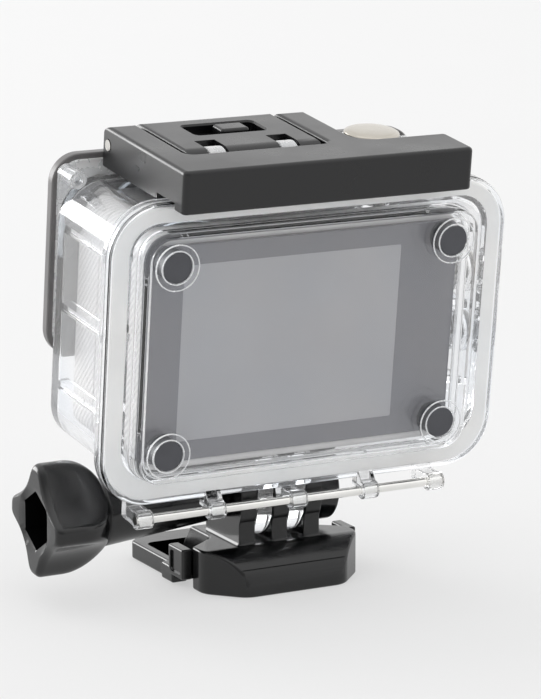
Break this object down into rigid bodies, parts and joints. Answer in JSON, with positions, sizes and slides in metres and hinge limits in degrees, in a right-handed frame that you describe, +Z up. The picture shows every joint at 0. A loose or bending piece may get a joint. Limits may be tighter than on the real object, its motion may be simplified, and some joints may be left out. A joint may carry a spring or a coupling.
{
  "type": "action camera in waterproof case",
  "caption": "Small action camera in a clear waterproof case with a hinged rear door, a black over-centre top latch, push buttons, a thumb screw and a quick-release buckle.",
  "frame": {"origin": "on the buckle's flat underside, straight below the thumb screw's axis and midway across the prongs", "axes": "+Z up, -Y the way the lens faces, +Y towards the back door, +X towards the thumb knob"},
  "size_m": [0.0826, 0.0464, 0.0802],
  "materials": {
    "clear_polycarbonate": "water-clear injection-moulded polycarbonate, polished",
    "port_glass": "flat optical glass",
    "black_nylon": "black glass-filled nylon, soft gloss",
    "black_latch": "black acetal, satin",
    "grey_plate": "dark grey ABS, fine satin",
    "steel": "bright stainless steel",
    "spring_steel": "spring steel wire",
    "rubber_pad": "dark grey rubber, matt",
    "silicone_seal": "white silicone",
    "black_rubber": "black nitrile rubber",
    "satin_metal": "satin champagne anodised aluminium",
    "camera_plastic": "silver-grey painted plastic, fine hatch",
    "dark_glass": "tinted cover glass, glossy",
    "lcd": "liquid-crystal panel, switched off",
    "circuit_board": "green circuit board with parts",
    "battery_wrap": "battery pack in a black label sleeve",
    "lens_black": "black anodised lens barrel",
    "lens_glass": "coated lens element"
  },
  "bodies": {
    "buckle": {"buckle": "black_nylon", "captive_nut": "steel"},
    "thumb_screw": {"thumb_knob": "black_nylon", "thumb_screw": "steel"},
    "case": {"case_shell": "clear_polycarbonate", "front_plate": "grey_plate", "lens_port_ring": "black_nylon", "lens_port_glass": "port_glass", "lens_port_seal": "black_rubber", "port_screws": "steel", "hinge_pin": "steel", "latch_pivot_pin": "steel", "shutter_spring": "spring_steel", "power_spring": "spring_steel", "up_spring": "spring_steel", "down_spring": "spring_steel", "camera_front_cover": "camera_plastic", "camera_rear_cover": "camera_plastic", "screen_glass": "dark_glass", "lcd_panel": "lcd", "main_board": "circuit_board", "battery": "battery_wrap", "battery_door": "camera_plastic", "lens_barrel": "lens_black", "lens_front_glass": "lens_glass", "image_sensor": "circuit_board"},
    "door": {"back_door": "clear_polycarbonate", "door_seal": "silicone_seal", "door_pads": "rubber_pad"},
    "lever": {"latch_lever": "black_latch"},
    "clasp": {"latch_clasp": "black_latch", "clasp_pin": "steel"},
    "lock": {"lock_slider": "black_latch"},
    "shutter_button": {"shutter_plunger": "satin_metal", "shutter_oring": "black_rubber", "shutter_clip": "steel"},
    "shutter_camera_key": {"shutter_key": "camera_plastic"},
    "power_button": {"power_plunger": "satin_metal", "power_oring": "black_rubber", "power_clip": "steel"},
    "power_camera_key": {"power_key": "camera_plastic"},
    "up_button": {"up_plunger": "satin_metal", "up_oring": "black_rubber", "up_clip": "steel"},
    "up_camera_key": {"up_key": "camera_plastic"},
    "down_button": {"down_plunger": "satin_metal", "down_oring": "black_rubber", "down_clip": "steel"},
    "down_camera_key": {"down_key": "camera_plastic"}
  },
  "joints": [
    {"name": "screw_turn", "type": "hinge", "parent": "buckle", "child": "thumb_screw", "pos_m": [0, 0, 0.015], "axis": [1, 0, 0], "continuous": true},
    {"name": "case_tilt", "type": "hinge", "parent": "buckle", "child": "case", "pos_m": [0, 0, 0.015], "axis": [-1, 0, 0], "range_deg": [-60, 25]},
    {"name": "door_swing", "type": "hinge", "parent": "case", "child": "door", "pos_m": [0, 0.01277, 0.0165], "axis": [-1, 0, 0], "range_deg": [0, 80]},
    {"name": "lever_lift", "type": "hinge", "parent": "case", "child": "lever", "pos_m": [0.00745, 0.00947, 0.0752], "axis": [-1, 0, 0], "range_deg": [0, 115]},
    {"name": "clasp_swing", "type": "hinge", "parent": "lever", "child": "clasp", "pos_m": [0.00745, -0.00592, 0.07704], "axis": [1, 0, 0], "range_deg": [0, 195.5]},
    {"name": "lock_slide", "type": "slide", "parent": "lever", "child": "lock", "axis": [1, 0, 0], "range_m": [0, 0.0035]},
    {"name": "shutter_press", "type": "slide", "parent": "case", "child": "shutter_button", "axis": [0, -0.1184, -0.993], "range_m": [0, 0.0008], "stiffness_N_per_m": 600, "springref_m": -0.001, "deforming": ["shutter_spring"]},
    {"name": "shutter_key_press", "type": "slide", "parent": "case", "child": "shutter_camera_key", "axis": [0, -0.1184, -0.993], "range_m": [0, 0.0008]},
    {"name": "power_press", "type": "slide", "parent": "case", "child": "power_button", "axis": [0, 0.993, -0.1184], "range_m": [0, 0.0008], "stiffness_N_per_m": 600, "springref_m": -0.001, "deforming": ["power_spring"]},
    {"name": "power_key_press", "type": "slide", "parent": "case", "child": "power_camera_key", "axis": [0, 0.993, -0.1184], "range_m": [0, 0.0008]},
    {"name": "up_press", "type": "slide", "parent": "case", "child": "up_button", "axis": [1, 0, 0], "range_m": [0, 0.0008], "stiffness_N_per_m": 600, "springref_m": -0.001, "deforming": ["up_spring"]},
    {"name": "up_key_press", "type": "slide", "parent": "case", "child": "up_camera_key", "axis": [1, 0, 0], "range_m": [0, 0.0008]},
    {"name": "down_press", "type": "slide", "parent": "case", "child": "down_button", "axis": [1, 0, 0], "range_m": [0, 0.0008], "stiffness_N_per_m": 600, "springref_m": -0.001, "deforming": ["down_spring"]},
    {"name": "down_key_press", "type": "slide", "parent": "case", "child": "down_camera_key", "axis": [1, 0, 0], "range_m": [0, 0.0008]}
  ],
  "couplings": [
    {"joint": "lever_lift", "follows": "door_swing", "ratio": 1.4375},
    {"joint": "clasp_swing", "follows": "door_swing", "ratio": 2.4438},
    {"joint": "shutter_key_press", "follows": "shutter_press", "ratio": 1},
    {"joint": "power_key_press", "follows": "power_press", "ratio": 1},
    {"joint": "up_key_press", "follows": "up_press", "ratio": 1},
    {"joint": "down_key_press", "follows": "down_press", "ratio": 1}
  ]
}
